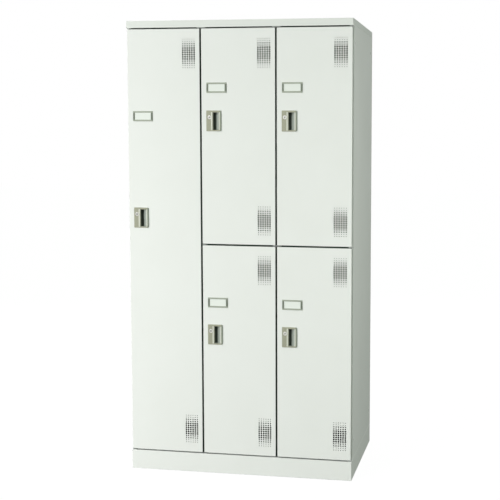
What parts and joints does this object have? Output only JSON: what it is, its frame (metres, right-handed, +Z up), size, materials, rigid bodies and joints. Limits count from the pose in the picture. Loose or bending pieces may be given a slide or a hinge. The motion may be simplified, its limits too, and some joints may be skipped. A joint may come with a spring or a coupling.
{
  "type": "five-door locker",
  "caption": "Sheet-steel locker with a full-height door beside two pairs of stacked doors, each with a recessed handle, a cam lock and a name holder, on a closed plinth.",
  "frame": {"origin": "on the floor under the middle of the overall box", "axes": "+Z up, +X to the right as seen from the front, +Y from the doors towards the back"},
  "size_m": [0.9, 0.518, 1.79],
  "materials": {
    "paint": "baked enamel, pale warm grey, low gloss",
    "inner_paint": "baked enamel on the inside sheets",
    "zinc": "zinc plated, dull",
    "handle": "zinc casting in satin khaki grey",
    "nickel": "nickel plated, bright",
    "card": "blank white card"
  },
  "bodies": {
    "carcass": {"plinth": "paint", "floor_panel": "inner_paint", "top_panel": "paint", "back_panel": "paint", "side_panel_left": "paint", "side_panel_right": "paint", "partition_left": "inner_paint", "partition_right": "inner_paint", "door_post_left": "paint", "door_post_right": "paint", "hat_shelf": "inner_paint", "mid_shelf_centre": "inner_paint", "mid_shelf_right": "inner_paint", "hanger_rail_tall": "nickel", "hanger_rail_upper_centre": "nickel", "hanger_rail_lower_centre": "nickel", "hanger_rail_upper_right": "nickel", "hanger_rail_lower_right": "nickel", "top_rest_plate": "zinc", "top_pivot_plate_tall": "zinc", "top_pivot_plate_centre": "zinc", "top_pivot_plate_right": "zinc", "mid_rest_plate": "zinc", "mid_pivot_plate_centre": "zinc", "mid_pivot_plate_right": "zinc", "bottom_rest_plate": "zinc", "bottom_pivot_plate_tall": "zinc", "bottom_pivot_plate_centre": "zinc", "bottom_pivot_plate_right": "zinc"},
    "tall_door": {"door_tall": "paint", "handle_tall": "handle", "label_frame_tall": "handle", "label_card_tall": "card"},
    "upper_centre_door": {"door_upper_centre": "paint", "handle_upper_centre": "handle", "label_frame_upper_centre": "handle", "label_card_upper_centre": "card"},
    "lower_centre_door": {"door_lower_centre": "paint", "handle_lower_centre": "handle", "label_frame_lower_centre": "handle", "label_card_lower_centre": "card"},
    "upper_right_door": {"door_upper_right": "paint", "handle_upper_right": "handle", "label_frame_upper_right": "handle", "label_card_upper_right": "card"},
    "lower_right_door": {"door_lower_right": "paint", "handle_lower_right": "handle", "label_frame_lower_right": "handle", "label_card_lower_right": "card"},
    "tall_lock": {"lock_plug_tall": "nickel", "lock_cam_tall": "zinc"},
    "upper_centre_lock": {"lock_plug_upper_centre": "nickel", "lock_cam_upper_centre": "zinc"},
    "lower_centre_lock": {"lock_plug_lower_centre": "nickel", "lock_cam_lower_centre": "zinc"},
    "upper_right_lock": {"lock_plug_upper_right": "nickel", "lock_cam_upper_right": "zinc"},
    "lower_right_lock": {"lock_plug_lower_right": "nickel", "lock_cam_lower_right": "zinc"}
  },
  "joints": [
    {"name": "tall_door_hinge", "type": "hinge", "parent": "carcass", "child": "tall_door", "pos_m": [-0.161, -0.246, 0.919], "axis": [0, 0, 1], "range_deg": [0, 105]},
    {"name": "upper_centre_door_hinge", "type": "hinge", "parent": "carcass", "child": "upper_centre_door", "pos_m": [0.139, -0.246, 1.339], "axis": [0, 0, 1], "range_deg": [0, 105]},
    {"name": "lower_centre_door_hinge", "type": "hinge", "parent": "carcass", "child": "lower_centre_door", "pos_m": [0.139, -0.246, 0.499], "axis": [0, 0, 1], "range_deg": [0, 105]},
    {"name": "upper_right_door_hinge", "type": "hinge", "parent": "carcass", "child": "upper_right_door", "pos_m": [0.439, -0.246, 1.339], "axis": [0, 0, 1], "range_deg": [0, 105]},
    {"name": "lower_right_door_hinge", "type": "hinge", "parent": "carcass", "child": "lower_right_door", "pos_m": [0.439, -0.246, 0.499], "axis": [0, 0, 1], "range_deg": [0, 105]},
    {"name": "tall_lock_turn", "type": "hinge", "parent": "tall_door", "child": "tall_lock", "pos_m": [-0.415, -0.256, 1.0345], "axis": [0, 1, 0], "range_deg": [0, 90]},
    {"name": "upper_centre_lock_turn", "type": "hinge", "parent": "upper_centre_door", "child": "upper_centre_lock", "pos_m": [-0.115, -0.256, 1.4165], "axis": [0, 1, 0], "range_deg": [0, 90]},
    {"name": "lower_centre_lock_turn", "type": "hinge", "parent": "lower_centre_door", "child": "lower_centre_lock", "pos_m": [-0.115, -0.256, 0.57575], "axis": [0, 1, 0], "range_deg": [0, 90]},
    {"name": "upper_right_lock_turn", "type": "hinge", "parent": "upper_right_door", "child": "upper_right_lock", "pos_m": [0.185, -0.256, 1.4165], "axis": [0, 1, 0], "range_deg": [0, 90]},
    {"name": "lower_right_lock_turn", "type": "hinge", "parent": "lower_right_door", "child": "lower_right_lock", "pos_m": [0.185, -0.256, 0.57575], "axis": [0, 1, 0], "range_deg": [0, 90]}
  ]
}
